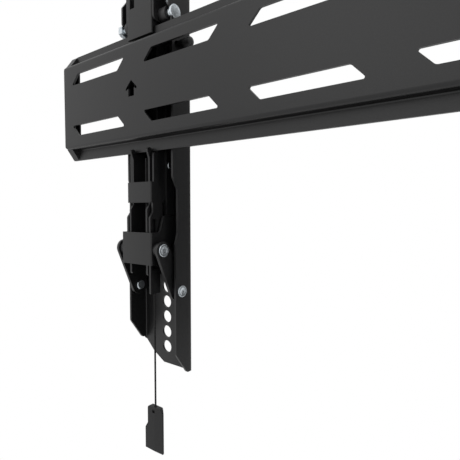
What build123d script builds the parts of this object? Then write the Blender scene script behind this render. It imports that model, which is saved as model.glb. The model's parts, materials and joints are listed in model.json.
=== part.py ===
from build123d import *
import math
import os

os.makedirs("parts", exist_ok=True)

# Frame: X along the rail, Y from the wall towards the television, Z up.
# The origin is the middle of the rail's back, on the wall.

# Sheet steel
sheet = 2.0
bend_inside = 1.0
bend_outside = bend_inside + sheet
sharp_inside = 0.2
sharp_outside = 1.2

# Wall rail
rail_length = 610.0
web_height = 78.0
lip_rise = 9.9
rail_depth = 11.2
slots_per_row = 6
slot_pitch = 100.7
slot_width = 9.6
slot_straight = 68.0
slot_row_offset = 23.4
slot_row_lift = 0.7
slot_row_shift = -1.2
slot_corner = 1.0
slot_round = 3.0
web_corner = 3.0
arrow_left_of_arm = 3.6
arrow_height = 13.0
arrow_width = 13.5
arrow_shaft = 7.0
arrow_wing = 4.4
arrow_centre_z = 2.0

# End caps
cap_length = 8.3
cap_wall = 1.6
cap_gap = 0.1
cap_plug = 1.2

# Arms
arm_spacing = 400.0
left_arm_x = -202.0
rail_clearance = 0.6
hang_gap = 0.1

# Television bracket
tv_width = 58.9
tv_face = 35.9
tv_bottom = -233.5
tv_top = 237.0
tv_edge = 16.5
tv_edge_upper = 14.1
tv_edge_upper_left = 16.3
tv_edge_relief = 19.2
relief_bottom = -124.9
relief_top = -70.5
relief_ramp = 9.5
tv_end_chamfer = 18.0
tv_end_depth = 12.7
tv_short_flange = 19.5
ear_edge = 11.2
ear_top = 76.7
ear_ramp = 7.0
tv_hole = 10.7
tv_hole_pitch = 13.5
tv_hole_count = 5
tv_hole_lowest = -218.5
tv_hole_groups = (0.0, 300.0, 386.5)

# Tilt pivot
pivot_y = 16.4
pivot_z = 58.5
pivot_bolt = 6.0
pivot_fit = 0.05
bolt_head = 10.9
bolt_head_height = 2.0
bolt_head_chamfer = 0.4
nut_flats = 10.0
nut_height = 5.5
nut_collar = 1.5
bolt_spare = 0.5
washer_width = 12.0
washer_thick = 7.85
bush_width = 7.0
face_gap = 0.15

# Lock screw in its arc slot
lock_y = 22.8
lock_z = 35.2
lock_shank = 5.0
lock_head = 7.4
lock_head_length = 12.4
lock_knurls = 12
lock_knurl_depth = 0.35
lock_socket = 4.0
lock_nut_flats = 8.0
lock_nut_height = 4.0
arc_slot_width = 5.8
arc_slot_spare = 3.0
tilt_max = 4.5

# Hook bracket
hook_width = 29.4
hook_web_y = 5.8
hook_bottom = 43.5
hook_top = 95.0
hook_depth_upper = 26.0
hook_depth_lower = 16.3
hook_notch_width = 5.5
hook_notch_left = 11.2
hook_notch_bottom = 68.0
hook_notch_height = 9.0
band_y = 3.8
band_top = -73.8
band_height = 16.8
band_step_y = 7.2
stem_y = 3.0
stem_step_top = -98.6
stem_step_bottom = -102.6
stem_bottom = -164.8
stem_bottom_left = -139.0
stem_slope_left = 7.6
stem_depth = 13.1

# Inner channel
inner_gap = 0.1
inner_back = 29.5
inner_edge = 19.0
inner_shoulder_y = 6.5
inner_shoulder_z = 52.6
inner_top = 84.0
inner_bottom = -100.7
inner_corner = 5.0
rivet_shank = 4.0
rivet_head = 5.6
rivet_head_height = 1.2
channel_rivet_z = (72.0, 5.0, -60.0)
channel_rivet_y = 23.0

# Stay carriage
carriage_gap = 1.5
carriage_web_y = 0.6
carriage_bottom = -141.1
carriage_web_height = 26.3
carriage_depth = 26.5
carriage_step_y = 14.0
carriage_ramp_y = 10.0
carriage_top_gap = 0.5
stay_pin_y = 7.15
stay_pin_z = -128.9
stay_pin = 5.0
stay_slot_width = 5.4
stay_slot_top = -103.5
stay_slot_bottom = -145.5

# Stay levers
lever_thick = 2.8
lever_washer = 4.1
lever_washer_width = 11.0
lever_foot_y = 23.2
lever_foot_z = -163.6
lever_top_radius = 7.0
lever_foot_radius = 8.4
lever_hole = 7.8
foot_pin = 6.0
foot_shoulder = 9.0
stay_head = 10.2
stay_head_height = 1.0
foot_head = 9.4
foot_head_height = 1.5
foot_inner_head = 8.5
inner_head = 8.0

# Latch slider
latch_width = 22.2
latch_edge = 6.1
latch_foot_y = 3.0
latch_step_top = -92.0
latch_step_bottom = -96.0
latch_back = 21.0
latch_nose = 2.5
latch_nose_overlap = 2.7
latch_nose_gap = 0.3
latch_neck = -55.0
latch_web_top = -52.0
latch_web_bottom = -141.5
latch_bottom = -150.0
latch_heel_y = 22.8
lip_gap = 0.8
tongue_edge = -4.0
tongue_depth = 6.0
tongue_thick = 2.0

# Latch spring
spring_width = 5.0
spring_wire = 0.8
spring_turns = 9
spring_pitch = 2.3
spring_y = 24.6
spring_top = -66.0
spring_tab_width = 6.0
spring_tab_thick = 1.2

# Pull cord and tab
cord_width = 1.6
cord_hole = 2.4
cord_y = 19.8
cord_knot = 4.4
cord_tail = 2.4
tab_top = -268.0
tab_height = 39.0
tab_width_low = 21.4
tab_front = 17.2
tab_rear = 21.8
tab_side = 1.5
tab_ridge = 1.0
tab_fall = 0.6
tab_rear_flat = 7.0
tab_step = 15.5
tab_step_ramp = 5.0
tab_side_step = 3.2
tab_corner_left = 2.6
tab_corner_right = 5.0
tab_window = 2.8
tab_window_drop = 2.4

web_half = web_height / 2
lip_top = web_half + lip_rise
lip_y = rail_depth - sheet
notch_front = lip_y - rail_clearance
notch_back = rail_depth + rail_clearance
hook_half = hook_width / 2
sharp_reach = sheet + sharp_inside
inner_half = hook_half + inner_gap + sheet
carriage_half = hook_half + carriage_gap + sheet
tv_half = tv_width / 2
lever_inside = carriage_half + lever_washer + 2 * face_gap
lever_outside = lever_inside + lever_thick
latch_half = latch_width / 2
spring_bottom = spring_top - spring_turns * spring_pitch - 2 * spring_wire
cord_end = tab_top - cord_tail


def side_plate(points, x_start, thickness):
    """A flat plate square to X, from its outline of (y, z) points."""
    outline = make_face(Polyline(*points, close=True).edges())
    return Pos(x_start, 0, 0) * extrude(Plane.YZ * outline, thickness)


def upright(diameter, height):
    """A round bar along Z, standing on the origin."""
    return Cylinder(diameter / 2, height, align=(Align.CENTER, Align.CENTER, Align.MIN))


def rod(y, z, diameter, x_start, x_end):
    """A round bar along X."""
    return Pos(x_start, y, z) * Rot(0, 90, 0) * upright(diameter, x_end - x_start)


def block(x_range, y_range, z_range):
    """A box between three pairs of limits."""
    size = [high - low for low, high in (x_range, y_range, z_range)]
    return Pos(x_range[0], y_range[0], z_range[0]) * Box(*size, align=(Align.MIN,) * 3)


def folded_web(half_width, outer_y, side, z_range, inside=bend_inside, outside=bend_outside):
    """The web of a folded channel with its two bends; side is +1 when the flanges run towards +Y."""
    leg = sheet + inside + 0.01
    outer = Pos(0, outer_y + side * leg / 2) * Rectangle(2 * half_width, leg)
    outer = fillet(outer.vertices().filter_by(lambda v: abs(v.Y - outer_y) < 0.001), outside)
    inner = Pos(0, outer_y + side * (sheet + leg / 2)) * Rectangle(2 * (half_width - sheet), leg)
    inner = fillet(inner.vertices().filter_by(lambda v: abs(v.Y - outer_y - side * sheet) < 0.001), inside)
    return Pos(0, 0, z_range[0]) * extrude(outer - inner, z_range[1] - z_range[0])


def rounded(points, radius_of):
    """A face in the YZ plane with chosen corners rounded: radius_of maps a corner's index to its radius."""
    face = make_face(Polyline(*points, close=True).edges())
    for index, radius in radius_of.items():
        corner = face.vertices().sort_by_distance((points[index][0], points[index][1], 0))[0]
        face = fillet(corner, radius)
    return face


def rounded_pair(points, radius_of, half_width, thickness=sheet):
    """Left and right flanges from one outline with rounded corners."""
    plate = extrude(Plane.YZ * rounded(points, radius_of), thickness)
    return Pos(-half_width, 0, 0) * plate + Pos(half_width - thickness, 0, 0) * plate


# Wall rail
def rail_section():
    half = [
        (0, web_half, bend_outside),
        (lip_y, web_half, bend_inside),
        (lip_y, lip_top, 0),
        (rail_depth, lip_top, 0),
        (rail_depth, web_half - sheet, bend_outside),
        (sheet, web_half - sheet, bend_inside),
    ]
    corners = half + [(y, -z, r) for y, z, r in reversed(half)]
    face = make_face(Polyline(*[(y, z) for y, z, _ in corners], close=True).edges())
    for y, z, radius in corners:
        if radius:
            face = fillet(face.vertices().sort_by_distance((y, z, 0))[0], radius)
    return face


def slot_shape(row):
    """A slot whose ends slant at 45 degrees, leaning right above the middle and left below it."""
    half_wide = slot_width / 2
    half_long = slot_straight / 2
    lean = row * half_wide
    face = make_face(
        Polyline(
            (-half_long - lean, -half_wide),
            (half_long - lean, -half_wide),
            (half_long + lean, half_wide),
            (-half_long + lean, half_wide),
            close=True,
        ).edges()
    )
    blunt = face.vertices().filter_by(lambda v: v.X * v.Y * row < 0)
    face = fillet(blunt, slot_round)
    acute = face.vertices().filter_by(lambda v: v.X * v.Y * row > 0)
    return fillet(acute, slot_corner)


def arrow_shape():
    half_shaft = arrow_shaft / 2
    half_wing = arrow_width / 2
    head_drop = arrow_height * 0.48
    wing_drop = head_drop * (half_shaft / half_wing) + arrow_wing * 0.75
    return make_face(
        Polyline(
            (0, arrow_height / 2),
            (half_wing, arrow_height / 2 - head_drop),
            (half_wing, arrow_height / 2 - head_drop - arrow_wing * 0.45),
            (half_shaft, arrow_height / 2 - wing_drop),
            (half_shaft, -arrow_height / 2),
            (-half_shaft, -arrow_height / 2),
            (-half_shaft, arrow_height / 2 - wing_drop),
            (-half_wing, arrow_height / 2 - head_drop - arrow_wing * 0.45),
            (-half_wing, arrow_height / 2 - head_drop),
            close=True,
        ).edges()
    )


def through_web(face, x, z):
    """A flat shape drawn in X and Z, cut straight through the rail's web."""
    return extrude(Plane(origin=(x, -1, z), x_dir=(1, 0, 0), z_dir=(0, -1, 0)) * face, -(sheet + 2))


def wall_rail():
    rail = Pos(-rail_length / 2, 0, 0) * extrude(Plane.YZ * rail_section(), rail_length)
    for side in (-1, 1):
        end = side * rail_length / 2
        inner_end = end - side * (cap_length + cap_gap)
        rail -= block(sorted((inner_end, end + side)), (sheet, rail_depth + 1), (-lip_top - 1, lip_top + 1))
        for level in (-1, 1):
            corner = Pos(end, sheet / 2, level * web_half) * Box(2 * web_corner, 2 * sheet, 2 * web_corner)
            keep = Pos(end - side * web_corner, sheet / 2, level * (web_half - web_corner)) * Rot(90, 0, 0)
            keep *= Cylinder(web_corner, 3 * sheet)
            rail -= corner - keep
    for row in (-1, 1):
        for index in range(slots_per_row):
            x = (index - (slots_per_row - 1) / 2) * slot_pitch + slot_row_shift
            rail -= through_web(slot_shape(row), x, row * slot_row_offset + slot_row_lift)
    return rail - through_web(arrow_shape(), left_arm_x - arrow_left_of_arm, arrow_centre_z)


def end_cap(side):
    """A moulded cap that closes the rail's end behind the web, with a hollow plug inside the section."""
    front = sheet + cap_gap
    outline = [
        (front, -web_half + cap_gap),
        (lip_y, -lip_top),
        (rail_depth, -lip_top),
        (rail_depth, lip_top),
        (lip_y, lip_top),
        (front, web_half - cap_gap),
    ]
    cap = extrude(Plane.YZ * rounded(outline, {1: 1.5, 4: 1.5}), cap_length)
    plug_y = (sheet + 2 * cap_gap, rail_depth - cap_gap)
    plug_z = web_half - sheet - bend_inside
    plug_end = cap_length + cap_plug
    cap += block((cap_length - cap_wall, plug_end), plug_y, (-plug_z, plug_z))
    hollow_y = (plug_y[0] + cap_wall, plug_y[1] - cap_wall)
    hollow_z = plug_z - cap_wall
    cap -= block((cap_wall, plug_end + 1), hollow_y, (-hollow_z, hollow_z))
    if side > 0:
        cap = mirror(cap, Plane.YZ)
    return Pos(side * rail_length / 2, 0, 0) * cap


# Television bracket
def tv_flange(bottom, upper_edge):
    """Outline of one flange: it carries the open hook for the pivot bolt at its wall edge."""
    reach = pivot_bolt / 2 + pivot_fit
    return [
        (tv_face, bottom),
        (tv_edge + tv_end_depth, bottom),
        (tv_edge, bottom + tv_end_chamfer),
        (tv_edge, relief_bottom),
        (tv_edge_relief, relief_bottom + relief_ramp),
        (tv_edge_relief, relief_top - relief_ramp),
        (upper_edge, relief_top),
        (upper_edge, pivot_z - reach),
        (pivot_y, pivot_z - reach),
        (pivot_y, pivot_z + reach),
        (ear_edge, pivot_z + reach),
        (ear_edge, ear_top),
        (tv_edge, ear_top + ear_ramp),
        (tv_edge, tv_top - tv_end_chamfer),
        (tv_edge + tv_end_depth, tv_top),
        (tv_face, tv_top),
    ]


def tv_bracket():
    bend_y = tv_face - bend_outside
    body = None
    for side in (-1, 1):
        bottom = tv_bottom + (tv_short_flange if side < 0 else 0)
        upper_edge = tv_edge_upper_left if side < 0 else tv_edge_upper
        points = [(min(y, bend_y), z) for y, z in tv_flange(bottom, upper_edge)]
        corners = {1: 3.0, 2: 4.0, 3: 5.0, 4: 5.0, 5: 5.0, 6: 5.0}
        corners |= {10: 2.0, 11: 2.0, 12: 3.0, 13: 4.0, 14: 3.0}
        plate = extrude(Plane.YZ * rounded(points, corners), sheet)
        plate = Pos(-tv_half if side < 0 else tv_half - sheet, 0, 0) * plate
        body = plate if body is None else body + plate
    body += folded_web(tv_half, tv_face, -1, (tv_bottom, tv_top))
    body -= rod(pivot_y, pivot_z, pivot_bolt + 2 * pivot_fit, -tv_half - 1, tv_half + 1)
    body -= web_corner_cut()
    for height in tv_hole_groups:
        for index in range(tv_hole_count):
            z = tv_hole_lowest + height + index * tv_hole_pitch
            body -= Pos(0, tv_face, z) * Rot(90, 0, 0) * Cylinder(tv_hole / 2, 4 * sheet)
    body -= rod(lever_foot_y, lever_foot_z, foot_pin, -tv_half - 1, tv_half + 1)
    return body - arc_slot()


def web_corner_cut():
    """The web's lower left corner is cut back on a slant that runs into the bottom edge on a curve."""
    low = tv_bottom
    start = tv_bottom + tv_short_flange
    points = [(-tv_half - 1, start), (-tv_half + 2.0, start - 2.0), (-17.0, low + 7.5)]
    points += [(-4.0, low), (-4.0, low - 5), (-tv_half - 1, low - 5)]
    face = make_face(Polyline(*points, close=True).edges())
    face = fillet(face.vertices().sort_by_distance((-17.0, low + 7.5, 0))[0], 12.0)
    outside = Plane(origin=(0, tv_face + 1, 0), x_dir=(1, 0, 0), z_dir=(0, -1, 0))
    return extrude(outside * face, bend_outside + 4)


def polar(radius, angle):
    turn = math.radians(angle)
    return (radius * math.cos(turn), radius * math.sin(turn))


def arc_slot():
    """The lock screw's slot in both flanges follows a circle about the pivot bolt."""
    radius = math.hypot(lock_y - pivot_y, lock_z - pivot_z)
    middle = math.degrees(math.atan2(lock_z - pivot_z, lock_y - pivot_y))
    ring = Cylinder(radius + arc_slot_width / 2, 3 * sheet) - Cylinder(radius - arc_slot_width / 2, 3 * sheet)
    spread = tilt_max + 2 * arc_slot_spare
    start = middle - tilt_max - arc_slot_spare
    wedge = make_face(
        Polyline(
            (0, 0),
            polar(2 * radius, start),
            polar(2 * radius, start + spread),
            close=True,
        ).edges()
    )
    slot = ring & extrude(wedge, 6 * sheet, both=True)
    for angle in (start, start + spread):
        slot += Pos(*polar(radius, angle), 0) * Cylinder(arc_slot_width / 2, 3 * sheet)
    slot = Plane(origin=(0, 0, 0), x_dir=(0, 1, 0), z_dir=(1, 0, 0)) * slot
    slot = Pos(0, pivot_y, pivot_z) * slot
    return Pos(tv_half - sheet / 2, 0, 0) * slot + Pos(-tv_half + sheet / 2, 0, 0) * slot


# Hook bracket
def hook_flange(side):
    """Outline of one flange; the left one ends above the right one, on a slope."""
    front = hook_web_y + sharp_reach
    band_back = band_y + sharp_reach
    band_bottom = band_top - band_height
    notch_top = lip_top + hang_gap
    if side < 0:
        foot = [(stem_y, stem_bottom_left), (hook_depth_lower, stem_bottom_left - stem_slope_left)]
    else:
        foot = [
            (stem_y, stem_bottom),
            (stem_depth, stem_bottom),
            (stem_depth, carriage_bottom),
            (hook_depth_lower, carriage_bottom + 4),
        ]
    return [
        (front, notch_top),
        (notch_back, notch_top),
        (notch_back, -lip_top - lip_gap),
        (band_step_y, -lip_top - lip_gap),
        (band_step_y, band_top),
        (band_back, band_top),
        (band_back, band_bottom),
        (band_back, stem_step_top),
        (stem_y, stem_step_bottom),
        *foot,
        (hook_depth_lower, band_bottom),
        (hook_depth_upper, band_bottom + 8),
        (hook_depth_upper, hook_top),
        (front, hook_top),
    ]


def hook_bracket():
    band_bottom = band_top - band_height
    body = folded_web(hook_half, hook_web_y, 1, (hook_bottom, hook_top), sharp_inside, sharp_outside)
    body += folded_web(hook_half, band_y, 1, (band_bottom, band_top), sharp_inside, sharp_outside)
    for side in (-1, 1):
        points = hook_flange(side)
        rounds = {3: 2.0, 7: 1.5, 8: 2.0, 9: 1.0, len(points) - 2: 4.0, len(points) - 3: 4.0}
        plate = extrude(Plane.YZ * rounded(points, rounds), sheet)
        body += Pos(-hook_half if side < 0 else hook_half - sheet, 0, 0) * plate
    notch_top = lip_top + hang_gap
    body -= block((-hook_half - 1, hook_half + 1), (notch_front, notch_back), (hook_bottom - 1, notch_top))
    notch_z = (hook_notch_bottom, hook_notch_bottom + hook_notch_height)
    notch_x = (-hook_notch_left, -hook_notch_left + hook_notch_width)
    body -= block(notch_x, (hook_web_y - 1, hook_web_y + sheet + 1), notch_z)
    body -= rod(pivot_y, pivot_z, pivot_bolt + 2 * pivot_fit, -hook_half - 1, hook_half + 1)
    body -= rod(lock_y, lock_z, lock_shank + 2 * pivot_fit, -hook_half - 1, hook_half + 1)
    return body - stay_slot() - channel_rivet_holes()


def stay_slot():
    """Upright guide slots for the carriage's pins."""
    half = stay_slot_width / 2
    span = (stay_slot_bottom + half, stay_slot_top - half)
    slot = block((-hook_half - 1, hook_half + 1), (stay_pin_y - half, stay_pin_y + half), span)
    for z in span:
        slot += rod(stay_pin_y, z, stay_slot_width, -hook_half - 1, hook_half + 1)
    return slot


def channel_rivet_holes():
    holes = Part()
    for z in channel_rivet_z:
        holes += rod(channel_rivet_y, z, rivet_shank, -inner_half - 1, inner_half + 1)
    return holes


# Inner channel
def inner_channel():
    bend_y = inner_back - bend_outside
    points = [
        (bend_y, inner_bottom),
        (inner_edge, inner_bottom),
        (inner_edge, inner_shoulder_z),
        (inner_shoulder_y, inner_shoulder_z),
        (inner_shoulder_y, inner_top),
        (bend_y, inner_top),
    ]
    body = rounded_pair(points, {2: 3.0, 3: inner_corner, 4: 3.0}, inner_half)
    body += folded_web(inner_half, inner_back, -1, (inner_bottom, inner_top))
    body -= rod(pivot_y, pivot_z, pivot_bolt + 2 * pivot_fit, -inner_half - 1, inner_half + 1)
    body -= rod(lock_y, lock_z, lock_shank + 2 * pivot_fit, -inner_half - 1, inner_half + 1)
    body += spring_tab((spring_y, inner_back - sheet + 0.5), spring_top)
    return body - channel_rivet_holes()


def spring_tab(y_range, bottom):
    """A small tongue that holds one end of the latch spring."""
    return block((-spring_tab_width / 2, spring_tab_width / 2), y_range, (bottom, bottom + spring_tab_thick))


def channel_rivets():
    """Rivets that hold the hook bracket and the inner channel together, on both sides."""
    rivets = []
    for side in (-1, 1):
        for z in channel_rivet_z:
            inside = hook_half - sheet - rivet_head_height
            outside = inner_half + rivet_head_height
            body = rod(channel_rivet_y, z, rivet_shank, inside, outside)
            body += rod(channel_rivet_y, z, rivet_head, inside, inside + rivet_head_height)
            body += rod(channel_rivet_y, z, rivet_head, outside - rivet_head_height, outside)
            rivets.append(body if side > 0 else mirror(body, Plane.YZ))
    return Compound(children=rivets)


# Pivot hardware
def pivot_bolt_part():
    head_start = tv_half + face_gap
    end = -tv_half - face_gap - nut_height - bolt_spare
    body = rod(pivot_y, pivot_z, pivot_bolt, end, head_start + 0.5)
    head = rod(pivot_y, pivot_z, bolt_head, head_start, head_start + bolt_head_height)
    return body + chamfer(head.edges().filter_by(GeomType.CIRCLE).sort_by(Axis.X)[-1:], bolt_head_chamfer)


def pivot_nut():
    """A hexagon nut with a round locking collar on its outer end."""
    nut = extrude(RegularPolygon(nut_flats / 2, 6, major_radius=False), nut_height - nut_collar)
    nut += Pos(0, 0, nut_height - nut_collar) * upright(nut_flats - 0.8, nut_collar)
    nut -= Cylinder(pivot_bolt / 2 + pivot_fit, 4 * nut_height)
    return Pos(-tv_half - face_gap, pivot_y, pivot_z) * Rot(0, -90, 0) * nut


def friction_washers():
    """Black washers on the bolt, against the inner channel."""
    washer = rod(pivot_y, pivot_z, washer_width, inner_half + face_gap, inner_half + face_gap + washer_thick)
    washer = chamfer(washer.edges().filter_by(GeomType.CIRCLE), 0.4)
    washer -= rod(pivot_y, pivot_z, pivot_bolt + 2 * pivot_fit, inner_half, tv_half)
    return Compound(children=[washer, mirror(washer, Plane.YZ)])


def bushes():
    """Zinc bushes between the washers and the television bracket's flanges."""
    start = inner_half + washer_thick + 2 * face_gap
    bush = rod(pivot_y, pivot_z, bush_width, start, tv_half - sheet - face_gap)
    bush -= rod(pivot_y, pivot_z, pivot_bolt + 2 * pivot_fit, inner_half, tv_half)
    return Compound(children=[bush, mirror(bush, Plane.YZ)])


# Lock screw
def lock_screw():
    head_start = tv_half + face_gap
    head = upright(lock_head, lock_head_length)
    for index in range(lock_knurls):
        angle = index * 360 / lock_knurls
        groove = Cylinder(0.25 + lock_knurl_depth, 3 * lock_head_length)
        head -= Rot(0, 0, angle) * Pos(lock_head / 2 + 0.25, 0, 0) * groove
    socket = extrude(RegularPolygon(lock_socket / 2, 6, major_radius=False), 4)
    socket = Pos(0, 0, lock_head_length - 3) * socket
    head = Pos(head_start, lock_y, lock_z) * Rot(0, 90, 0) * (head - socket)
    nut_start = hook_half - sheet - face_gap - lock_nut_height
    return head + rod(lock_y, lock_z, lock_shank, nut_start - 1, head_start + 1)


def lock_square_nut():
    end = hook_half - sheet - face_gap
    nut = block((end - lock_nut_height, end), (lock_y - 4, lock_y + 4), (lock_z - 4, lock_z + 4))
    return nut - rod(lock_y, lock_z, lock_shank + 2 * pivot_fit, 0, inner_half)


# Stay carriage
def carriage():
    front = carriage_web_y + sharp_reach
    web_top = carriage_bottom + carriage_web_height
    top = inner_bottom - carriage_top_gap
    points = [
        (front, carriage_bottom),
        (carriage_step_y, carriage_bottom),
        (carriage_depth, carriage_bottom + 22),
        (carriage_depth, top),
        (carriage_step_y, top),
        (carriage_ramp_y, web_top),
        (front, web_top),
    ]
    body = rounded_pair(points, {1: 5.0, 2: 6.0, 3: 2.0, 4: 3.0, 5: 3.0}, carriage_half)
    web_z = (carriage_bottom, web_top)
    body += folded_web(carriage_half, carriage_web_y, 1, web_z, sharp_inside, sharp_outside)
    return body - rod(stay_pin_y, stay_pin_z, stay_pin, -carriage_half - 1, carriage_half + 1)


def carriage_rivets():
    inside = hook_half - sheet - face_gap
    outside = lever_outside + face_gap
    body = rod(stay_pin_y, stay_pin_z, stay_pin, inside - 1, outside + 1)
    body += rod(stay_pin_y, stay_pin_z, inner_head, inside - rivet_head_height, inside)
    head = rod(stay_pin_y, stay_pin_z, stay_head, outside, outside + stay_head_height)
    body += chamfer(head.edges().filter_by(GeomType.CIRCLE).sort_by(Axis.X)[-1:], 0.4)
    return Compound(children=[body, mirror(body, Plane.YZ)])


def lever_washers():
    start = carriage_half + face_gap
    washer = rod(stay_pin_y, stay_pin_z, lever_washer_width, start, start + lever_washer)
    washer -= rod(stay_pin_y, stay_pin_z, stay_pin + 2 * pivot_fit, 0, tv_half)
    return Compound(children=[washer, mirror(washer, Plane.YZ)])


# Stay levers
def lever(side):
    """A plate that widens from its upper eye to its foot."""
    run_y = lever_foot_y - stay_pin_y
    run_z = lever_foot_z - stay_pin_z
    length = math.hypot(run_y, run_z)
    lean = math.asin((lever_foot_radius - lever_top_radius) / length)
    heading = math.atan2(run_z, run_y)
    corners = []
    for sign in (1, -1):
        turn = heading + sign * (math.pi / 2 + lean)
        normal = (math.cos(turn), math.sin(turn))
        ends = [
            (stay_pin_y + lever_top_radius * normal[0], stay_pin_z + lever_top_radius * normal[1]),
            (lever_foot_y + lever_foot_radius * normal[0], lever_foot_z + lever_foot_radius * normal[1]),
        ]
        corners += ends if sign > 0 else reversed(ends)
    body = side_plate(corners, lever_inside, lever_thick)
    body += rod(stay_pin_y, stay_pin_z, 2 * lever_top_radius, lever_inside, lever_outside)
    body += rod(lever_foot_y, lever_foot_z, 2 * lever_foot_radius, lever_inside, lever_outside)
    body -= rod(stay_pin_y, stay_pin_z, lever_hole, 0, tv_half)
    body -= rod(lever_foot_y, lever_foot_z, foot_pin + 2 * pivot_fit, 0, tv_half)
    return body if side > 0 else mirror(body, Plane.YZ)


def lever_rivets():
    """Shouldered rivets in the television bracket's flanges, on which the levers turn."""
    inside = lever_inside - face_gap
    body = rod(lever_foot_y, lever_foot_z, foot_pin, inside - 1, tv_half + 0.5)
    body += rod(lever_foot_y, lever_foot_z, foot_shoulder, lever_outside + face_gap, tv_half - sheet)
    body += rod(lever_foot_y, lever_foot_z, foot_inner_head, inside - rivet_head_height, inside)
    head = rod(lever_foot_y, lever_foot_z, foot_head, tv_half, tv_half + foot_head_height)
    body += chamfer(head.edges().filter_by(GeomType.CIRCLE).sort_by(Axis.X)[-1:], 0.4)
    return Compound(children=[body, mirror(body, Plane.YZ)])


# Latch slider
def latch_slider():
    """A channel with a round nose on each flange that stands behind the rail's lower lip."""
    bend_y = latch_back - bend_outside
    nose_y = lip_y - latch_nose_gap - latch_nose
    nose_z = -lip_top + latch_nose_overlap - latch_nose
    shelf = -lip_top - lip_gap
    points = [
        (latch_foot_y, latch_bottom),
        (latch_heel_y, latch_bottom),
        (latch_heel_y, latch_web_bottom),
        (bend_y, latch_web_bottom),
        (bend_y, shelf),
        (nose_y + latch_nose, shelf),
        (nose_y + latch_nose, nose_z),
        (nose_y - latch_nose, nose_z),
        (latch_edge, latch_neck),
        (latch_edge, latch_step_top),
        (latch_foot_y, latch_step_bottom),
    ]
    body = rounded_pair(points, {0: 2.0, 1: 2.0, 9: 1.5, 10: 2.0}, latch_half)
    for x in (-latch_half, latch_half - sheet):
        body += rod(nose_y, nose_z, 2 * latch_nose, x, x + sheet)
    body += folded_web(latch_half, latch_back, -1, (latch_web_bottom, latch_web_top))
    tongue_y = (latch_heel_y - tongue_depth, latch_heel_y)
    tongue_x = (tongue_edge, latch_half - sheet / 2)
    body += block(tongue_x, tongue_y, (latch_bottom, latch_bottom + tongue_thick))
    body -= Pos(0, cord_y, latch_bottom) * Cylinder(cord_hole / 2, 4 * tongue_thick)
    return body + spring_tab((latch_back - 0.5, spring_y), spring_bottom - spring_tab_thick)


def latch_spring():
    """Tension spring: an open coil with a flat ring at each end, resting between the two tabs."""
    coil_radius = (spring_width - spring_wire) / 2
    path = Helix(spring_pitch, spring_turns * spring_pitch, coil_radius)
    wire = Plane(origin=path @ 0, z_dir=path % 0) * RegularPolygon(spring_wire / 2, 6)
    coil = sweep(wire, path)
    ring = Cylinder(spring_width / 2, spring_wire) - Cylinder(spring_width / 2 - spring_wire, 2 * spring_wire)
    coil += ring
    coil += Pos(0, 0, spring_turns * spring_pitch) * ring
    return Pos(0, spring_y, spring_bottom + spring_wire) * coil


# Pull cord
def pull_cord():
    top = latch_bottom + tongue_thick + 0.1
    return Pos(0, cord_y, cord_end) * upright(cord_width, top - cord_end)


def cord_knot_above():
    """The knot that stops the cord above the tongue's hole."""
    return Pos(0, cord_y, latch_bottom + tongue_thick + 0.1 + cord_knot / 2) * Sphere(cord_knot / 2)


def pull_tab():
    """A flat moulded tab: thin edges, a fuller middle, and a lower half that widens on the left."""
    half = tab_width_low / 2
    edge_front = tab_front + tab_fall
    edge_rear = edge_front + tab_side
    section = [
        (-half, tab_front),
        (tab_ridge, tab_front),
        (half, edge_front),
        (half, edge_rear),
        (tab_rear_flat, tab_rear),
        (-tab_rear_flat, tab_rear),
        (-half, edge_rear),
    ]
    bar = extrude(make_face(Polyline(*section, close=True).edges()), tab_height)
    bar = Pos(0, 0, tab_top - tab_height) * bar
    narrow = half - tab_side_step
    outline = [
        (-half, 0),
        (half, 0),
        (half, tab_height),
        (-narrow, tab_height),
        (-narrow, tab_height - tab_step),
        (-half, tab_height - tab_step - tab_step_ramp),
    ]
    face = make_face(Polyline(*outline, close=True).edges())
    face = fillet(face.vertices().sort_by_distance((half, tab_height, 0))[0], tab_corner_right)
    face = fillet(face.vertices().sort_by_distance((-narrow, tab_height, 0))[0], tab_corner_left)
    front = Plane(origin=(0, tab_rear + 1, tab_top - tab_height), x_dir=(1, 0, 0), z_dir=(0, -1, 0))
    body = bar & extrude(front * face, tab_rear - tab_front + 2)
    body -= Pos(0, cord_y, tab_top) * Cylinder(cord_hole / 2, 2 * tab_window_drop)
    window_z = (tab_top - tab_window_drop - tab_window, tab_top - tab_window_drop)
    return body - block((-tab_window / 2, tab_window / 2), (tab_front - 1, tab_rear + 1), window_z)


def arm_parts():
    """Every node of one arm, about the arm's own middle plane."""
    return {
        "tv_bracket": tv_bracket(),
        "hook_bracket": hook_bracket(),
        "inner_channel": inner_channel(),
        "channel_rivets": channel_rivets(),
        "pivot_bolt": pivot_bolt_part(),
        "pivot_nut": pivot_nut(),
        "friction_washers": friction_washers(),
        "pivot_bushes": bushes(),
        "lock_screw": lock_screw(),
        "lock_nut": lock_square_nut(),
        "stay_carriage": carriage(),
        "carriage_rivets": carriage_rivets(),
        "lever_washers": lever_washers(),
        "outer_stay_lever": lever(-1),
        "inner_stay_lever": lever(1),
        "lever_rivets": lever_rivets(),
        "latch_slider": latch_slider(),
        "latch_spring": latch_spring(),
        "pull_cord": pull_cord(),
        "cord_knot": cord_knot_above(),
        "pull_tab": pull_tab(),
    }


export_step(wall_rail(), "parts/wall_rail.step")
for side, label in ((-1, "left"), (1, "right")):
    export_step(end_cap(side), f"parts/end_cap_{label}.step")

parts = arm_parts()
for label, arm_x in (("left", left_arm_x), ("right", left_arm_x + arm_spacing)):
    for name, shape in parts.items():
        export_step(Pos(arm_x, 0, 0) * shape, f"parts/{label}_{name}.step")
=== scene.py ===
import json
import math

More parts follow.
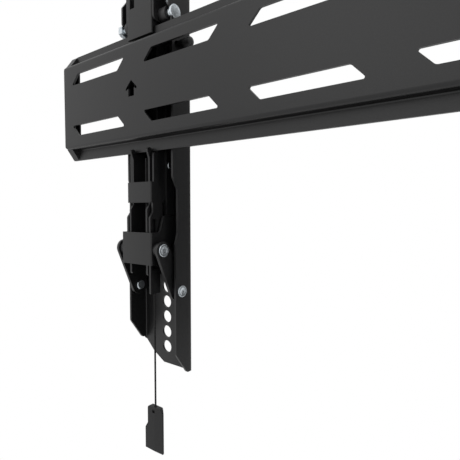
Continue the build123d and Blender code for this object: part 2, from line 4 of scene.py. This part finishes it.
import bmesh
import bpy
import numpy as np
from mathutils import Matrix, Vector


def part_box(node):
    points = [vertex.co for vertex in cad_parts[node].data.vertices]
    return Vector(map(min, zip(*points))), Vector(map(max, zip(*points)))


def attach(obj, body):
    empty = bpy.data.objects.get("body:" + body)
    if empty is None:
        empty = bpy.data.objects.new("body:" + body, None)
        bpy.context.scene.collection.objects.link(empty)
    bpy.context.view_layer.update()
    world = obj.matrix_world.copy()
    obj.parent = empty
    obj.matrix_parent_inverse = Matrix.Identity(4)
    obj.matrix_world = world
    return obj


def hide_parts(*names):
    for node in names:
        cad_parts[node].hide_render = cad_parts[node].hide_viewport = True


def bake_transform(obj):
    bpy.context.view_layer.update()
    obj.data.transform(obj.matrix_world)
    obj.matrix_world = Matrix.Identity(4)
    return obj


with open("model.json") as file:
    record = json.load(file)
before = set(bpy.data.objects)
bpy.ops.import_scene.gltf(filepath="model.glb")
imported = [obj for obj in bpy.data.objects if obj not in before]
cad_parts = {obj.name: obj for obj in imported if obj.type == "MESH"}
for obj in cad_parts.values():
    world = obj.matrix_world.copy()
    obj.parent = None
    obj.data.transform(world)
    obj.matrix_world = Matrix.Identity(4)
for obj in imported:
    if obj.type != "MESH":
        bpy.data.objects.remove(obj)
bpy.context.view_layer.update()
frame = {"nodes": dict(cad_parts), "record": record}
nodes = frame["nodes"]
arms = ("left", "right")
mm = 0.001
print("frame loaded:", len(nodes), "nodes")


def armX(arm):
    low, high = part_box(f"{arm}_pull_cord")  # the cord hangs in the arm's middle plane
    return (low.x + high.x) / 2 / mm


# Finishes

def hexToLinear(code):
    # sRGB to linear: c / 12.92 below the knee, ((c + 0.055) / 1.055) to the power 2.4 above it
    channels = [int(code[i : i + 2], 16) / 255 for i in (0, 2, 4)]
    return (*[c / 12.92 if c <= 0.04045 else ((c + 0.055) / 1.055) ** 2.4 for c in channels], 1.0)


def addNode(tree, kind, settings=None, values=None, links=None):
    node = tree.nodes.new(kind)
    for name, value in (settings or {}).items():
        setattr(node, name, value)
    for socket, value in (values or {}).items():
        node.inputs[socket].default_value = value
    for socket, source in (links or {}).items():
        tree.links.new(source, node.inputs[socket])
    return node


def newFinish(name):
    material = bpy.data.materials.new(name)
    material.use_nodes = True
    tree = material.node_tree
    tree.nodes.clear()
    place = addNode(tree, "ShaderNodeTexCoord").outputs["Object"]
    return material, tree, place


def finishOutput(tree, shader):
    addNode(tree, "ShaderNodeOutputMaterial", links={"Surface": shader.outputs["BSDF"]})


def softNoise(tree, place, cellMm, detail):
    values = {"Scale": 1 / (cellMm * mm), "Detail": detail}
    return addNode(tree, "ShaderNodeTexNoise", values=values, links={"Vector": place})


def mottled(tree, place, cellMm, dark, light, detail=3.0):
    # two tones mixed by a soft noise whose cells are cellMm wide
    noise = softNoise(tree, place, cellMm, detail)
    ramp = addNode(tree, "ShaderNodeValToRGB", links={"Fac": noise.outputs["Fac"]})
    ramp.color_ramp.elements[0].position = 0.35
    ramp.color_ramp.elements[0].color = hexToLinear(dark)
    ramp.color_ramp.elements[1].position = 0.65
    ramp.color_ramp.elements[1].color = hexToLinear(light)
    return ramp.outputs["Color"]


def grained(tree, place, cellMm, heightMm, strength=1.0, below=None, detail=2.0):
    # a bump whose grains are cellMm wide and heightMm deep
    noise = softNoise(tree, place, cellMm, detail)
    links = {"Height": noise.outputs["Fac"]}
    if below is not None:
        links["Normal"] = below
    values = {"Strength": strength, "Distance": heightMm * mm}
    return addNode(tree, "ShaderNodeBump", values=values, links=links).outputs["Normal"]


powderCoat = {
    "dark": "0d0d0e",
    "light": "121213",
    "roughness": 0.42,
    "peelMm": 2.2,
    "peelDeep": 0.02,
    "grainMm": 0.55,
    "grainDeep": 0.03,
}


def makePowderCoat():
    # Polyester powder baked on folded steel: an even black with a slight orange peel and a fine sand grain
    material, tree, place = newFinish("bakedBlackPowderCoat")
    s = powderCoat
    peel = grained(tree, place, s["peelMm"], s["peelDeep"])
    grain = grained(tree, place, s["grainMm"], s["grainDeep"], below=peel)
    tone = mottled(tree, place, 1.1, s["dark"], s["light"])
    shader = addNode(
        tree,
        "ShaderNodeBsdfPrincipled",
        values={"Roughness": s["roughness"], "IOR": 1.46},
        links={"Base Color": tone, "Normal": grain},
    )
    finishOutput(tree, shader)
    return material


zincPlate = {"dark": "b4bcc1", "light": "dde3e7", "roughness": 0.34}


def makeZincPlate():
    # Bright zinc plate on cold-headed steel: cool silver, clouded where the plate is thin
    material, tree, place = newFinish("brightZincPlate")
    s = zincPlate
    tone = mottled(tree, place, 1.6, s["dark"], s["light"])
    grain = grained(tree, place, 0.9, 0.03)
    shader = addNode(
        tree,
        "ShaderNodeBsdfPrincipled",
        values={"Roughness": s["roughness"], "Metallic": 1.0},
        links={"Base Color": tone, "Normal": grain},
    )
    finishOutput(tree, shader)
    return material


blackOxide = {"dark": "0c0c0d", "light": "161617", "roughness": 0.38}


def makeBlackOxide():
    # Black oxide on turned alloy steel: deep black with an oily sheen on the knurls
    material, tree, place = newFinish("blackOxideSteel")
    s = blackOxide
    shader = addNode(
        tree,
        "ShaderNodeBsdfPrincipled",
        values={"Roughness": s["roughness"], "IOR": 1.6},
        links={"Base Color": mottled(tree, place, 0.8, s["dark"], s["light"])},
    )
    finishOutput(tree, shader)
    return material


mouldedBlack = {"dark": "121213", "light": "18181a", "roughness": 0.5, "sparkMm": 0.4, "sparkDeep": 0.02}


def makeMouldedBlack():
    # ABS moulded in a spark-eroded tool: black with a fine even grain that scatters the light
    material, tree, place = newFinish("sparkGrainAbs")
    s = mouldedBlack
    tone = mottled(tree, place, 2.0, s["dark"], s["light"])
    grain = grained(tree, place, s["sparkMm"], s["sparkDeep"])
    shader = addNode(
        tree,
        "ShaderNodeBsdfPrincipled",
        values={"Roughness": s["roughness"], "IOR": 1.52},
        links={"Base Color": tone, "Normal": grain},
    )
    finishOutput(tree, shader)
    return material


softTab = {"dark": "111112", "light": "161617", "roughness": 0.6}


def makeSoftTab():
    # Soft moulded rubber: a dull dark grey that shows hardly any reflection
    material, tree, place = newFinish("dullMouldedRubber")
    s = softTab
    tone = mottled(tree, place, 2.5, s["dark"], s["light"])
    grain = grained(tree, place, 0.5, 0.02)
    shader = addNode(
        tree,
        "ShaderNodeBsdfPrincipled",
        values={"Roughness": s["roughness"], "IOR": 1.42},
        links={"Base Color": tone, "Normal": grain},
    )
    finishOutput(tree, shader)
    return material


braid = {"dark": "0a0a0a", "light": "151515", "roughness": 0.85, "plaitMm": 1.1}


def makeBraid():
    # Braided polyester cord: matt black strands that cross every millimetre or so
    material, tree, place = newFinish("braidedPolyester")
    s = braid
    slant = {"Rotation": (0.0, math.radians(35), 0.0)}
    turned = addNode(tree, "ShaderNodeMapping", values=slant, links={"Vector": place})
    wave = addNode(
        tree,
        "ShaderNodeTexWave",
        settings={"bands_direction": "Z"},
        values={"Scale": 0.31 / (s["plaitMm"] * mm), "Distortion": 1.0, "Detail": 1.0},
        links={"Vector": turned.outputs["Vector"]},
    )
    ramp = addNode(tree, "ShaderNodeValToRGB", links={"Fac": wave.outputs["Fac"]})
    ramp.color_ramp.elements[0].color = hexToLinear(s["dark"])
    ramp.color_ramp.elements[1].color = hexToLinear(s["light"])
    relief = {"Strength": 0.45, "Distance": 0.08 * mm}
    bump = addNode(tree, "ShaderNodeBump", values=relief, links={"Height": wave.outputs["Fac"]})
    shader = addNode(
        tree,
        "ShaderNodeBsdfPrincipled",
        values={"Roughness": s["roughness"]},
        links={"Base Color": ramp.outputs["Color"], "Normal": bump.outputs["Normal"]},
    )
    finishOutput(tree, shader)
    return material


springWire = {"dark": "6d6f70", "light": "8d8f91", "roughness": 0.34}


def makeSpringWire():
    # Drawn music wire: mid grey steel with a faint drawn sheen
    material, tree, place = newFinish("drawnMusicWire")
    s = springWire
    shader = addNode(
        tree,
        "ShaderNodeBsdfPrincipled",
        values={"Roughness": s["roughness"], "Metallic": 1.0},
        links={"Base Color": mottled(tree, place, 1.0, s["dark"], s["light"])},
    )
    finishOutput(tree, shader)
    return material


finishes = {
    "powder_black": makePowderCoat(),
    "zinc_plate": makeZincPlate(),
    "blackened_steel": makeBlackOxide(),
    "moulded_black": makeMouldedBlack(),
    "soft_tab": makeSoftTab(),
    "braided_cord": makeBraid(),
    "spring_wire": makeSpringWire(),
}
slotOf = {part["node"]: part["material_slot"] for part in frame["record"]["subparts"]}
for name, node in nodes.items():
    node.data.materials.clear()
    node.data.materials.append(finishes[slotOf[name]])
print("finishes made:", len(finishes))


# Folded sheet and mouldings: every cut edge is rounded

sheetEdge = {"radius": 0.32, "steps": 2, "sharpFrom": 32.0}
mouldedEdge = {"radius": 0.7, "steps": 3, "sharpFrom": 20.0}


def bodyOf(name):
    bodies = frame["record"]["behaviour"]["bodies"]
    return next(body for body, held in bodies.items() if name in held)


def standFor(piece, name):
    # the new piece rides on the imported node's body and takes its finish
    piece.data.materials.clear()
    piece.data.materials.append(finishes[slotOf[name]])
    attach(piece, bodyOf(name))
    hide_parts(name)


def roundedCopy(name, edge):
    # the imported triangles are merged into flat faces, then each sharp edge gets a small radius
    mesh = nodes[name].data.copy()
    mesh.name = f"{name}Rounded"
    shape = bmesh.new()
    shape.from_mesh(mesh)
    bmesh.ops.remove_doubles(shape, verts=shape.verts, dist=1e-6)
    bmesh.ops.dissolve_limit(shape, angle_limit=math.radians(0.5), verts=shape.verts, edges=shape.edges)
    shape.to_mesh(mesh)
    shape.free()
    mesh.shade_smooth()
    mesh.set_sharp_from_angle(angle=math.radians(edge["sharpFrom"]))
    piece = bpy.data.objects.new(f"{name}_rounded", mesh)
    bpy.context.scene.collection.objects.link(piece)
    bevel = piece.modifiers.new("edges", "BEVEL")
    bevel.width = edge["radius"] * mm
    bevel.segments = edge["steps"]
    bevel.limit_method = "ANGLE"
    bevel.angle_limit = math.radians(edge["sharpFrom"])
    bevel.harden_normals = True
    standFor(piece, name)


sheetNames = (
    "tv_bracket",
    "hook_bracket",
    "inner_channel",
    "stay_carriage",
    "outer_stay_lever",
    "inner_stay_lever",
    "latch_slider",
)
roundedCopy("wall_rail", sheetEdge)
for arm in arms:
    for part in sheetNames:
        roundedCopy(f"{arm}_{part}", sheetEdge)
    roundedCopy(f"{arm}_pull_tab", mouldedEdge)
    roundedCopy(f"end_cap_{arm}", mouldedEdge)
print("edges rounded")


# Turned hardware

turning = {"steps": 48, "hexSteps": 96, "crown": 0.25, "corner": 0.35}


def lathe(profile, y, z, steps, outline=None):
    # a profile of (x, r) turned about X: the point is (x, y + r k cos a, z + r k sin a), with k the
    # outline's value at a; a profile that starts and ends at r = 0 is capped by one vertex at each
    # end, any other one closes on itself
    profile = np.array(profile, float)
    angle = np.linspace(0, 2 * np.pi, steps, endpoint=False)
    k = np.ones(steps) if outline is None else outline(angle)
    capped = profile[0, 1] == 0 and profile[-1, 1] == 0
    rings = profile[1:-1] if capped else profile
    r = rings[:, 1:2] * k
    along = np.repeat(rings[:, 0:1], steps, 1)
    grid = np.stack([along, y + r * np.cos(angle), z + r * np.sin(angle)], -1)
    count = len(rings)
    i = np.arange(count - 1 if capped else count)[:, None] * steps
    j = np.arange(steps)[None, :]
    after = (j + 1) % steps
    above = (i + steps) % (count * steps)
    quads = np.stack([i + j, above + j, above + after, i + after], -1).reshape(-1, 4).tolist()
    points = grid.reshape(-1, 3)
    if not capped:
        return points, quads
    first = len(points)
    points = np.vstack([points, [[profile[0, 0], y, z], [profile[-1, 0], y, z]]])
    near = np.stack([np.full(steps, first), j[0], after[0]], -1).tolist()
    base = (count - 1) * steps
    far = np.stack([np.full(steps, first + 1), base + after[0], base + j[0]], -1).tolist()
    return points, quads + near + far


def mirrored(shell, x):
    # the same shell on the other side of the plane at x, its faces turned round to look outward
    points, faces = shell
    return points * (-1, 1, 1) + (2 * x, 0, 0), [face[::-1] for face in faces]


def join(name, shells, replaced, smoothTo=35.0):
    points, faces, start = [], [], 0
    for shellPoints, shellFaces in shells:
        points.append(shellPoints)
        faces += [[start + v for v in face] for face in shellFaces]
        start += len(shellPoints)
    mesh = bpy.data.meshes.new(name)
    mesh.from_pydata((np.vstack(points) * mm).tolist(), [], faces)
    shape = bmesh.new()
    shape.from_mesh(mesh)
    bmesh.ops.recalc_face_normals(shape, faces=shape.faces)
    shape.to_mesh(mesh)
    shape.free()
    mesh.shade_smooth()
    mesh.set_sharp_from_angle(angle=math.radians(smoothTo))
    piece = bpy.data.objects.new(name, mesh)
    bpy.context.scene.collection.objects.link(piece)
    standFor(piece, replaced)
    return piece


def hexagon(angle):
    # distance to the flat side, as a multiple of half the width across flats
    return 1 / np.cos((angle + np.pi / 6) % (np.pi / 3) - np.pi / 6)


def fluted(flutes, depth):
    # 1 on the crests of the knurl and 1 - depth in its grooves
    return lambda angle: 1 - depth * (0.5 - 0.5 * np.cos(flutes * angle)) ** 2


def limits(name):
    low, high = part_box(name)
    return np.array(low) / mm, np.array(high) / mm


def roundHead(inner, outer, radius, corner, crown=0.0, cup=0.0):
    # profile from the shoulder at inner to the face at outer, with a rounded rim and a crown or a
    # shallow cup in the face
    turn = np.linspace(0, np.pi / 2, 5)
    side = 1 if outer > inner else -1
    rimX = [outer - side * (crown + corner * (1 - math.sin(t))) for t in turn]
    rimR = [radius - corner * (1 - math.cos(t)) for t in turn]
    rim = list(zip(rimX, rimR))
    if cup:
        floor = outer - side * (crown + cup)
        face = [(outer - side * crown, radius * 0.62), (floor, radius * 0.5), (floor, 0)]
    else:
        face = [(outer - side * crown * (r * r), radius * r) for r in (0.75, 0.5, 0.25)] + [(outer, 0)]
    return [(inner, radius), *rim, *face]


# part, edge radius, bore radius, distance of the inner face from the arm's middle plane
ringSizes = (
    ("friction_washers", 0.5, 3.05, 16.95),
    ("pivot_bushes", 0.2, 3.05, 24.95),
    ("lever_washers", 0.3, 2.55, 18.35),
)


def boltParts(arm):
    x = armX(arm)
    s = turning
    low, high = limits(f"{arm}_pivot_bolt")
    y, z = (low[1:] + high[1:]) / 2
    head = (high[1] - low[1]) / 2
    seat = limits(f"{arm}_tv_bracket")[1][0] + 0.15
    shank = [(low[0], 0), (low[0], 2.6), (low[0] + 0.4, 3.0), (seat, 3.0)]
    bolt = shank + roundHead(seat, high[0], head, s["corner"], s["crown"])
    join(f"{arm}_pivot_bolt_turned", [lathe(bolt, y, z, s["steps"])], f"{arm}_pivot_bolt")
    low, high = limits(f"{arm}_pivot_nut")
    flats = (high[1] - low[1]) / 2
    foot = high[0]
    back = foot - 4.0
    body = [(foot, 3.05), (foot, flats - 0.4), (foot - 0.4, flats), (back, flats), (back, 3.05)]
    collar = [(back, 3.05), (back, flats - 0.5), (low[0] + 0.6, flats - 0.5)]
    collar += [(low[0], flats - 1.1), (low[0], 3.05)]
    join(
        f"{arm}_pivot_nut_turned",
        [lathe(body, y, z, s["hexSteps"], hexagon), lathe(collar, y, z, s["steps"])],
        f"{arm}_pivot_nut",
    )
    for part, edge, bore, offset in ringSizes:
        low, high = limits(f"{arm}_{part}")
        y, z = (low[1:] + high[1:]) / 2
        radius = (high[1] - low[1]) / 2
        start = offset + x
        end = high[0]
        nearly = edge * 0.3
        ring = [(start, bore), (start, radius - edge), (start + nearly, radius - nearly)]
        ring += [(start + edge, radius), (end - edge, radius), (end - nearly, radius - nearly)]
        ring += [(end, radius - edge), (end, bore)]
        shell = lathe(ring, y, z, s["steps"])
        join(f"{arm}_{part}_turned", [shell, mirrored(shell, x)], f"{arm}_{part}")


def rivetParts(arm):
    x = armX(arm)
    s = turning
    shells = []
    low, high = limits(f"{arm}_channel_rivets")
    y = (low[1] + high[1]) / 2
    radius = (high[1] - low[1]) / 2
    inner = x + 11.5
    for z in (72.0, 5.0, -60.0):
        profile = roundHead(inner + 1.2, inner, radius, 0.5, 0.3)[::-1]
        profile += [(inner + 1.2, 2.0), (high[0] - 1.2, 2.0)]
        profile += roundHead(high[0] - 1.2, high[0], radius, 0.5, 0.3)
        shell = lathe(profile, y, z, s["steps"])
        shells += [shell, mirrored(shell, x)]
    join(f"{arm}_channel_rivets_turned", shells, f"{arm}_channel_rivets")
    low, high = limits(f"{arm}_carriage_rivets")
    y, z = (low[1:] + high[1:]) / 2
    inner = x + 11.35
    profile = [(inner, 0), (inner, 3.6), (inner + 0.4, 4.0), (inner + 1.2, 4.0)]
    profile += [(inner + 1.2, 2.5), (high[0] - 1.0, 2.5)]
    profile += roundHead(high[0] - 1.0, high[0], (high[1] - low[1]) / 2, 0.45, 0.15, cup=0.25)
    shell = lathe(profile, y, z, s["steps"])
    join(f"{arm}_carriage_rivets_turned", [shell, mirrored(shell, x)], f"{arm}_carriage_rivets")
    low, high = limits(f"{arm}_lever_rivets")
    y, z = (low[1:] + high[1:]) / 2
    inner = x + 21.25
    profile = [(inner, 0), (inner, 3.6), (inner + 0.5, 4.25), (inner + 1.2, 4.25)]
    profile += [(inner + 1.2, 3.0), (x + 25.55, 3.0), (x + 25.55, 4.5)]
    profile += [(x + 27.45, 4.5), (x + 27.45, 3.0), (high[0] - 1.5, 3.0)]
    profile += roundHead(high[0] - 1.5, high[0], (high[1] - low[1]) / 2, 0.5, 0.2, cup=0.3)
    shell = lathe(profile, y, z, s["steps"])
    join(f"{arm}_lever_rivets_turned", [shell, mirrored(shell, x)], f"{arm}_lever_rivets")


knurl = {"flutes": 28, "depth": 0.09}


def lockScrew(arm):
    s = knurl
    x = armX(arm)
    low, high = limits(f"{arm}_lock_screw")
    y, z = (low[1:] + high[1:]) / 2
    seat = limits(f"{arm}_tv_bracket")[1][0] + 0.15
    radius = 3.66
    shank = [(low[0], 0), (low[0], 2.2), (low[0] + 0.3, 2.5), (seat, 2.5)]
    shank += [(seat, radius - 0.5), (seat + 0.5, radius - 0.45)]
    crest = [(seat + 0.9, radius), (high[0] - 0.8, radius)]
    face = [(high[0] - 0.3, radius - 0.45), (high[0], radius - 0.8)]
    outer = [*shank, *crest, *face, (high[0], 0)]
    shell = lathe(outer, y, z, 168, fluted(s["flutes"], s["depth"]))
    join(f"{arm}_lock_screw_turned", [shell], f"{arm}_lock_screw", 50.0)


for arm in arms:
    boltParts(arm)
    rivetParts(arm)
    lockScrew(arm)
print("hardware turned")


# Springs, cords and knots

coil = {"turns": 9, "wire": 0.4, "around": 12, "alongTurn": 32}


def tube(centres, radius, around, closed):
    # circles round each centre, square to the line: the point is c + radius (u cos a + v sin a),
    # with u square to the tangent and v the cross product of the tangent and u; an open tube is
    # closed by one flat face at each end
    centres = np.array(centres, float)
    along = np.roll(centres, -1, 0) - np.roll(centres, 1, 0)
    if not closed:
        along[0], along[-1] = centres[1] - centres[0], centres[-1] - centres[-2]
    along /= np.linalg.norm(along, axis=1, keepdims=True)
    lead = np.where(np.abs(along[:, 2:3]) < 0.9, [[0.0, 0.0, 1.0]], [[1.0, 0.0, 0.0]])
    u = np.cross(along, lead)
    u /= np.linalg.norm(u, axis=1, keepdims=True)
    v = np.cross(along, u)
    angle = np.linspace(0, 2 * np.pi, around, endpoint=False)[None, :, None]
    grid = centres[:, None] + radius * (u[:, None] * np.cos(angle) + v[:, None] * np.sin(angle))
    count = len(centres)
    i = np.arange(count if closed else count - 1)[:, None] * around
    j = np.arange(around)[None, :]
    after = (j + 1) % around
    above = (i + around) % (count * around)
    faces = np.stack([i + j, above + j, above + after, i + after], -1).reshape(-1, 4).tolist()
    points = grid.reshape(-1, 3)
    if not closed:
        base = (count - 1) * around
        faces += [list(range(around)), list(range(base, base + around))]
    return points, faces


def latchSpring(arm):
    # a helix whose pitch closes up to one wire width over its first and last turns
    s = coil
    low, high = limits(f"{arm}_latch_spring")
    x, y = (low[:2] + high[:2]) / 2
    radius = (high[0] - low[0]) / 2 - s["wire"]
    turns = s["turns"] + 2
    t = np.linspace(0, turns, turns * s["alongTurn"] + 1)
    pitch = np.where((t < 1) | (t > turns - 1), 2.05 * s["wire"], 1.0)
    free = high[2] - low[2] - 2 * s["wire"] - 2 * 2.05 * s["wire"]
    pitch = np.where(pitch == 1.0, free / (turns - 2), pitch)
    rise = np.concatenate([[0], np.cumsum((pitch[1:] + pitch[:-1]) / 2 * np.diff(t))])
    rise *= (high[2] - low[2] - 2 * s["wire"]) / rise[-1]
    turn = 2 * np.pi * t
    height = low[2] + s["wire"] + rise
    centres = np.stack([x + radius * np.cos(turn), y + radius * np.sin(turn), height], -1)
    points, faces = tube(centres, s["wire"], s["around"], False)
    mesh = bpy.data.meshes.new(f"{arm}_spring_coil")
    mesh.from_pydata((points * mm).tolist(), [], faces)
    shape = bmesh.new()
    shape.from_mesh(mesh)
    bmesh.ops.recalc_face_normals(shape, faces=shape.faces)
    shape.to_mesh(mesh)
    shape.free()
    mesh.shade_smooth()
    mesh.materials.append(finishes["spring_wire"])
    spring = bpy.data.objects.new(f"{arm}_spring_coil", mesh)
    bpy.context.scene.collection.objects.link(spring)
    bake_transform(spring)
    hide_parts(f"{arm}_latch_spring")


knot = {"strand": 0.72, "steps": 120, "around": 12}


def knotShell(centre, reach):
    # trefoil: (sin t + 2 sin 2t, cos t - 2 cos 2t, -1.6 sin 3t) times a size that keeps the strand
    # inside reach across the knot
    t = np.linspace(0, 2 * np.pi, knot["steps"], endpoint=False)
    size = (reach - knot["strand"]) / 3
    across = np.sin(t) + 2 * np.sin(2 * t)
    deep = np.cos(t) - 2 * np.cos(2 * t)
    line = np.stack([across, deep, -1.6 * np.sin(3 * t)], -1)
    return tube(line * size + centre, knot["strand"], knot["around"], True)


def pullCord(arm):
    low, high = limits(f"{arm}_pull_cord")
    x, y = (low[:2] + high[:2]) / 2
    top, bottom = high[2], low[2]
    reach = (high[0] - low[0]) / 2
    heights = [top, top - 12 * reach, (top + bottom) / 2, bottom + 12 * reach, bottom]
    data = bpy.data.curves.new(f"{arm}_cord_line", "CURVE")
    data.dimensions = "3D"
    data.bevel_depth = reach * mm
    data.bevel_resolution = 6
    data.use_fill_caps = True
    spline = data.splines.new("NURBS")
    spline.points.add(len(heights) - 1)
    line = np.array([(x * mm, y * mm, z * mm, 1.0) for z in heights])
    spline.points.foreach_set("co", line.ravel())
    spline.order_u = 3
    spline.use_endpoint_u = True
    cord = bpy.data.objects.new(f"{arm}_cord_line", data)
    bpy.context.scene.collection.objects.link(cord)
    standFor(cord, f"{arm}_pull_cord")
    low, high = limits(f"{arm}_cord_knot")
    upper = knotShell((low + high) / 2, (high[0] - low[0]) / 2)
    join(f"{arm}_upper_knot", [upper], f"{arm}_cord_knot", 180.0)
    points, faces = knotShell(np.array([x, y - 0.6, bottom - 0.4]), 1.9)
    mesh = bpy.data.meshes.new(f"{arm}_tab_knot")
    mesh.from_pydata((points * mm).tolist(), [], faces)
    mesh.shade_smooth()
    mesh.materials.append(finishes["braided_cord"])
    lower = bpy.data.objects.new(f"{arm}_tab_knot", mesh)
    bpy.context.scene.collection.objects.link(lower)
    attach(lower, f"{arm}_latch")


for arm in arms:
    latchSpring(arm)
    pullCord(arm)
print("springs and cords in place")


# Studio

camera = {"place": (0.0650, -0.2163, -0.0962), "turn": (87.13, 0.0, 38.0), "lens": 32.09}


def aimedLamp(name, place, target, size, power):
    data = bpy.data.lights.new(name, "AREA")
    data.shape = "RECTANGLE"
    data.size, data.size_y = size
    data.energy = power
    lamp = bpy.data.objects.new(name, data)
    lamp.location = place
    lamp.rotation_euler = (Vector(target) - Vector(place)).to_track_quat("-Z", "Y").to_euler()
    bpy.context.scene.collection.objects.link(lamp)
    return lamp


def makeCamera():
    data = bpy.data.cameras.new("photoCamera")
    data.lens = camera["lens"]
    data.clip_start = 0.01
    body = bpy.data.objects.new("photoCamera", data)
    body.location = camera["place"]
    body.rotation_euler = [math.radians(a) for a in camera["turn"]]
    bpy.context.scene.collection.objects.link(body)
    bpy.context.scene.camera = body


def seenWhite(tree):
    # 1 for the camera's own rays and for what gloss and glass show, 0 for the light on things
    rays = addNode(tree, "ShaderNodeLightPath").outputs
    either = {"operation": "MAXIMUM"}
    seen = {0: rays["Is Camera Ray"], 1: rays["Is Glossy Ray"]}
    glossy = addNode(tree, "ShaderNodeMath", either, links=seen)
    through = {0: glossy.outputs[0], 1: rays["Is Transmission Ray"]}
    return addNode(tree, "ShaderNodeMath", either, links=through).outputs[0]


def makeWorld(level):
    world = bpy.data.worlds.new("paleStudio")
    bpy.context.scene.world = world
    world.use_nodes = True
    tree = world.node_tree
    tree.nodes.clear()
    white = (1, 1, 1, 1)
    seen = addNode(tree, "ShaderNodeBackground", values={"Color": white, "Strength": 1.0})
    fill = addNode(tree, "ShaderNodeBackground", values={"Color": white, "Strength": level})
    parts = {0: seenWhite(tree), 1: fill.outputs[0], 2: seen.outputs[0]}
    mix = addNode(tree, "ShaderNodeMixShader", links=parts)
    addNode(tree, "ShaderNodeOutputWorld", links={"Surface": mix.outputs[0]})


def makeFloor(height):
    half = 3.0
    corners = [(-half, -half, height), (half, -half, height)]
    corners += [(half, half, height), (-half, half, height)]
    mesh = bpy.data.meshes.new("paleFloor")
    mesh.from_pydata(corners, [], [(0, 1, 2, 3)])
    floor = bpy.data.objects.new("paleFloor", mesh)
    bpy.context.scene.collection.objects.link(floor)
    material = bpy.data.materials.new("paleFloorPaint")
    material.use_nodes = True
    tree = material.node_tree
    tree.nodes.clear()
    paint = addNode(tree, "ShaderNodeBsdfDiffuse", values={"Color": hexToLinear("f4f4f4")})
    white = addNode(tree, "ShaderNodeEmission", values={"Color": (1, 1, 1, 1), "Strength": 1.0})
    parts = {0: seenWhite(tree), 1: paint.outputs[0], 2: white.outputs[0]}
    mix = addNode(tree, "ShaderNodeMixShader", links=parts)
    addNode(tree, "ShaderNodeOutputMaterial", links={"Surface": mix.outputs[0]})
    mesh.materials.append(material)


def makeFlag():
    # a dark card beside the mount, out of the picture, that keeps the pale room out of the sheet's
    # right-hand faces
    corners = [(1.1, 0.45, -0.9), (1.1, 2.3, -0.9), (1.1, 2.3, 1.1), (1.1, 0.45, 1.1)]
    mesh = bpy.data.meshes.new("darkFlag")
    mesh.from_pydata(corners, [], [(0, 1, 2, 3)])
    flag = bpy.data.objects.new("darkFlag", mesh)
    bpy.context.scene.collection.objects.link(flag)
    material = bpy.data.materials.new("darkFlagFelt")
    material.use_nodes = True
    tree = material.node_tree
    tree.nodes.clear()
    felt = addNode(tree, "ShaderNodeBsdfDiffuse", values={"Color": hexToLinear("484848")})
    addNode(tree, "ShaderNodeOutputMaterial", links={"Surface": felt.outputs[0]})
    mesh.materials.append(material)
    flag.visible_camera = False


makeCamera()
makeWorld(0.75)
makeFloor(-1.1)
makeFlag()
aimedLamp("wideFront", (-0.5, -1.5, 0.7), (-0.15, 0.0, 0.0), (1.2, 1.0), 4.0)
aimedLamp("topFill", (0.3, -0.3, 1.5), (-0.15, 0.0, 0.0), (0.8, 0.8), 4.0)
bpy.context.scene.view_settings.view_transform = "Standard"
print("studio set")
